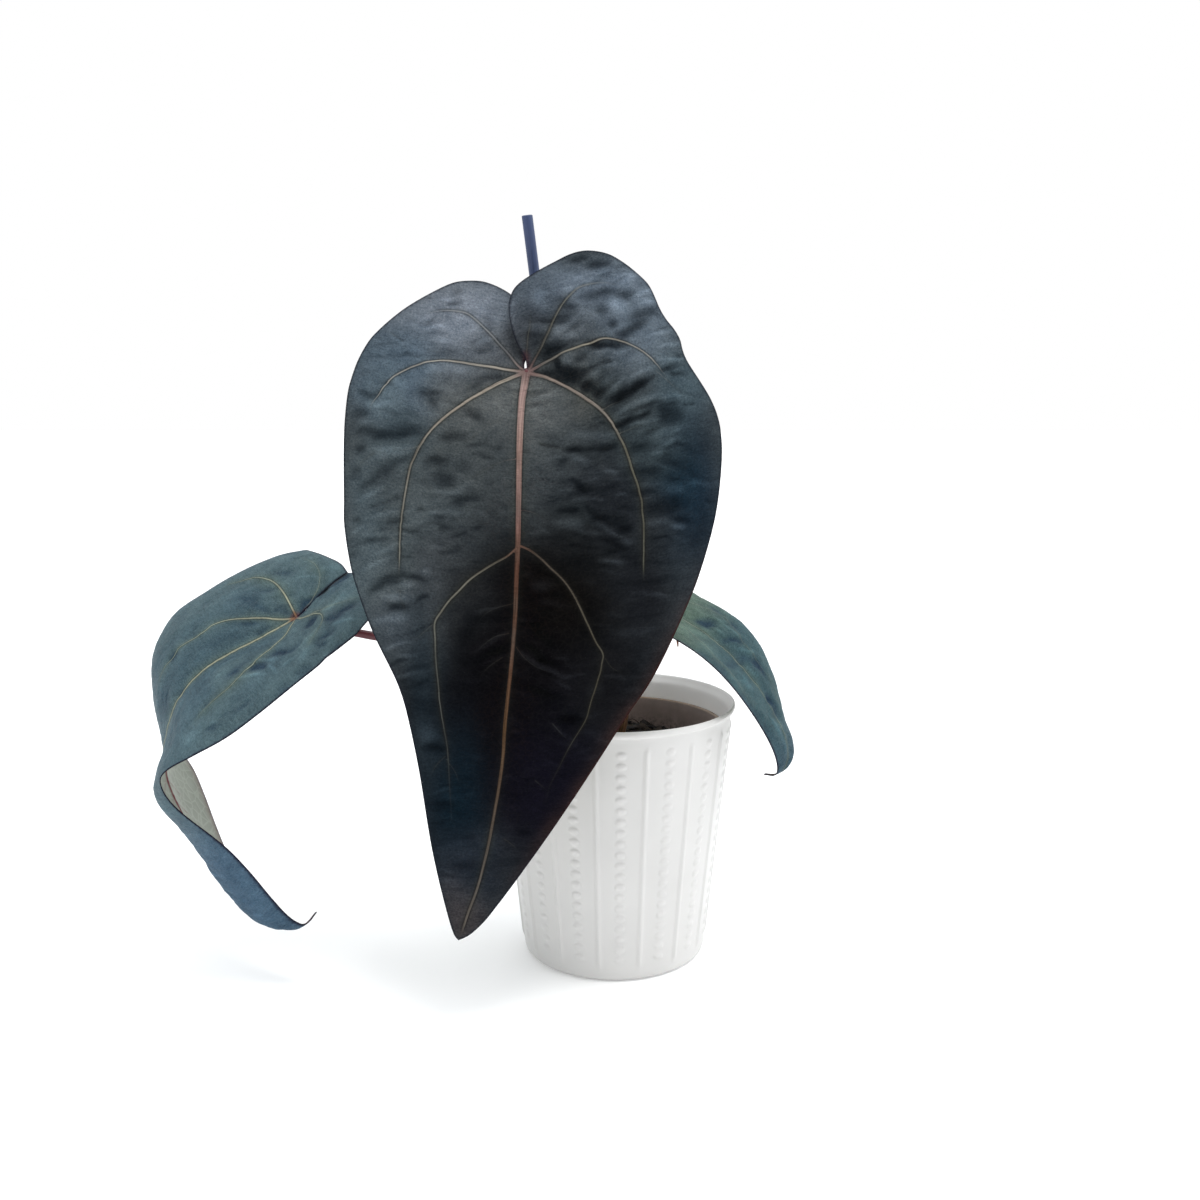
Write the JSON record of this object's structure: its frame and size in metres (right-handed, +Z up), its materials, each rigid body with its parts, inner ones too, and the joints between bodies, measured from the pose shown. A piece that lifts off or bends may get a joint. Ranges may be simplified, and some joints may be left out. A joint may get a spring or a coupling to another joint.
{
  "type": "potted anthurium",
  "caption": "Potted anthurium hybrid with large velvety heart-shaped pale-veined leaves on long petioles, staked, in a nursery pot inside a white ribbed and beaded cover pot.",
  "frame": {"origin": "centre of the cover pot's flat underside, on the surface it stands on", "axes": "+Z up along the pot's axis; -Y is the side in front of which the tallest leaf hangs; +X to the right of that view"},
  "size_m": [0.3826, 0.1885, 0.4207],
  "materials": {
    "cover_pot_white": "satin white, thin moulded wall",
    "nursery_pot_brown": "smooth brown",
    "substrate": "moist bark and coir chips",
    "stem": "matte, scarred",
    "petiole": "satin maroon to olive",
    "front_blade": "dark velvet with raised tan-olive veins",
    "side_blade": "grey-teal velvet with raised yellow-tan veins",
    "stake_blue": "satin navy",
    "tie": "soft matte",
    "cataphyll": "dry, papery"
  },
  "bodies": {
    "root": {"cover_pot": "cover_pot_white", "nursery_pot": "nursery_pot_brown", "substrate": "substrate", "stem_and_roots": "stem", "front_petiole": "petiole", "left_petiole": "petiole", "right_petiole": "petiole", "front_leaf_blade": "front_blade", "left_leaf_blade": "side_blade", "right_leaf_blade": "side_blade", "support_stake": "stake_blue", "plant_tie": "tie", "cataphyll_right": "cataphyll", "cataphyll_left": "cataphyll", "cataphyll_back": "cataphyll"}
  },
  "joints": []
}
